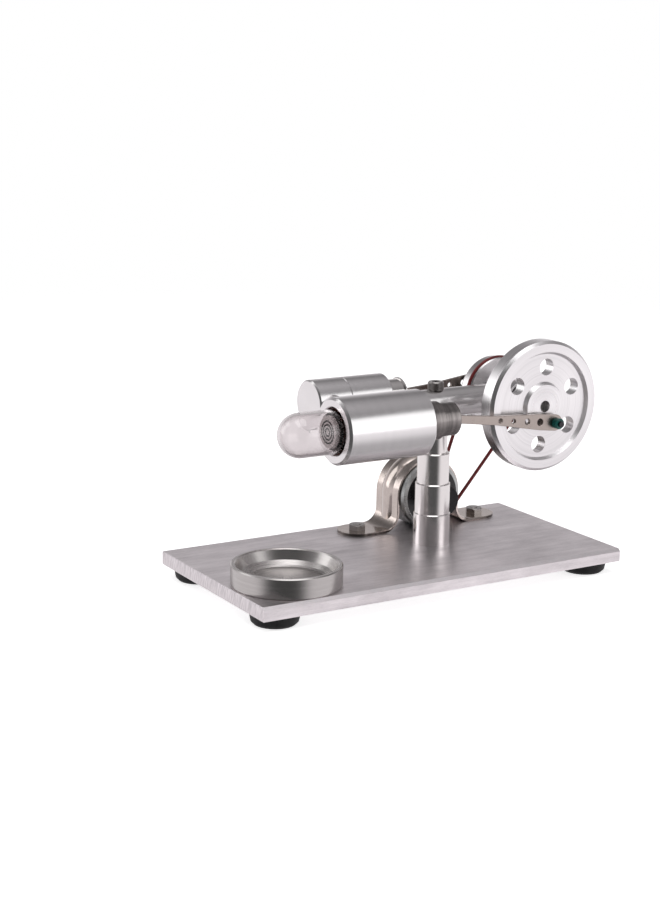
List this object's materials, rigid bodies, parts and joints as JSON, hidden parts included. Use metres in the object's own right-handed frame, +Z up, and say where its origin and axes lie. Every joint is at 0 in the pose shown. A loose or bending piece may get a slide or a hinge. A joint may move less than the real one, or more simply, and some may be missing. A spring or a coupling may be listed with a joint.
{
  "type": "stirling engine model",
  "caption": "Desktop hot-air engine with a glass hot cylinder, power cylinder, flywheel and belt-driven generator on a rectangular base with a lamp dish.",
  "frame": {"origin": "centre of the base plate, at the underside of the rubber feet", "axes": "+X along the base from the glass tube to the flywheel, +Y across it from the hot cylinder to the power cylinder, +Z up"},
  "size_m": [0.14, 0.07, 0.0797],
  "materials": {
    "base_aluminium": "brushed plate with a bright bevelled edge",
    "turned_aluminium": "fine turned satin",
    "wheel_aluminium": "bright turned satin",
    "stainless": "turned stainless, satin",
    "clamp_steel": "rolled stainless strip, smooth",
    "polished_steel": "polished",
    "screw_steel": "machined fastener steel",
    "guide_steel": "dark grey satin steel",
    "rod_steel": "plain rolled steel strip",
    "rod_bronze": "plain rolled steel strip, darker",
    "glass": "clear heat-proof glass",
    "seal_rubber": "dark red-brown silicone",
    "rubber": "black matte rubber",
    "belt_rubber": "dark red, slightly glossy",
    "green_sleeve": "dark green, slightly glossy",
    "black_plastic": "black moulded plastic",
    "can_zinc": "zinc-plated drawn steel",
    "brass": "plain",
    "copper": "enamelled winding wire",
    "dark_iron": "dark sintered or laminated iron"
  },
  "bodies": {
    "frame": {"base_plate": "base_aluminium", "rubber_foot_front_left": "rubber", "rubber_foot_front_right": "rubber", "rubber_foot_rear_left": "rubber", "rubber_foot_rear_right": "rubber", "foot_screws": "screw_steel", "lamp_dish": "stainless", "support_post": "polished_steel", "post_screw": "screw_steel", "beam": "turned_aluminium", "beam_cap_screw": "screw_steel", "bearing_housing": "turned_aluminium", "near_bearing_outer_ring": "polished_steel", "far_bearing_outer_ring": "polished_steel", "bearing_balls": "polished_steel", "hot_cylinder_sleeve": "turned_aluminium", "glass_tube": "glass", "glass_seal": "seal_rubber", "displacer_rod_bush": "brass", "crosshead_guide": "guide_steel", "power_cylinder": "turned_aluminium", "power_liner": "polished_steel", "transfer_manifold": "turned_aluminium", "generator_can": "can_zinc", "generator_bush": "brass", "generator_end_cap": "black_plastic", "generator_terminals": "brass", "generator_magnets": "dark_iron", "drive_belt": "belt_rubber", "generator_clamp": "clamp_steel", "clamp_bolts": "screw_steel", "clamp_nuts": "screw_steel"},
    "crankshaft": {"crank_axle": "polished_steel", "flywheel": "wheel_aluminium", "flywheel_set_screw": "screw_steel", "belt_pulley": "turned_aluminium", "pulley_set_screw": "screw_steel", "near_crank_pin": "screw_steel", "far_crank_pin": "screw_steel", "near_bearing_inner_ring": "polished_steel", "far_bearing_inner_ring": "polished_steel"},
    "generator_rotor": {"generator_armature": "dark_iron", "generator_windings": "copper", "generator_commutator": "copper", "generator_shaft": "polished_steel", "generator_pulley": "black_plastic"},
    "displacer_slide": {"displacer": "polished_steel", "displacer_rod": "polished_steel", "crosshead": "guide_steel", "near_wrist_pin": "screw_steel"},
    "near_rod": {"near_con_rod": "rod_steel", "near_pin_sleeve": "green_sleeve", "near_pin_end": "screw_steel"},
    "power_slide": {"power_piston": "guide_steel", "far_wrist_pin": "screw_steel"},
    "far_rod": {"far_con_rod": "rod_bronze", "far_pin_sleeve": "green_sleeve", "far_pin_end": "screw_steel"}
  },
  "joints": [
    {"name": "crank_spin", "type": "hinge", "parent": "frame", "child": "crankshaft", "pos_m": [0.04745, 0, 0.0573], "axis": [0, 1, 0], "continuous": true},
    {"name": "generator_spin", "type": "hinge", "parent": "frame", "child": "generator_rotor", "pos_m": [0.0264, 0, 0.0206], "axis": [0, 1, 0], "continuous": true},
    {"name": "displacer_stroke", "type": "slide", "parent": "frame", "child": "displacer_slide", "axis": [1, 0, 0], "range_m": [-0.00951, 0.00289]},
    {"name": "near_rod_swing", "type": "hinge", "parent": "displacer_slide", "child": "near_rod", "pos_m": [0.00576, -0.0204, 0.0573], "axis": [0, -1, 0], "range_deg": [-0.98, 14.86]},
    {"name": "power_stroke", "type": "slide", "parent": "frame", "child": "power_slide", "axis": [1, 0, 0], "range_m": [-0.01174, 0.00066]},
    {"name": "far_rod_swing", "type": "hinge", "parent": "power_slide", "child": "far_rod", "pos_m": [0.00799, 0.0204, 0.0573], "axis": [0, -1, 0], "range_deg": [-11.71, 4.13]}
  ],
  "couplings": [
    {"joint": "generator_spin", "follows": "crank_spin", "ratio": 2.7391}
  ]
}
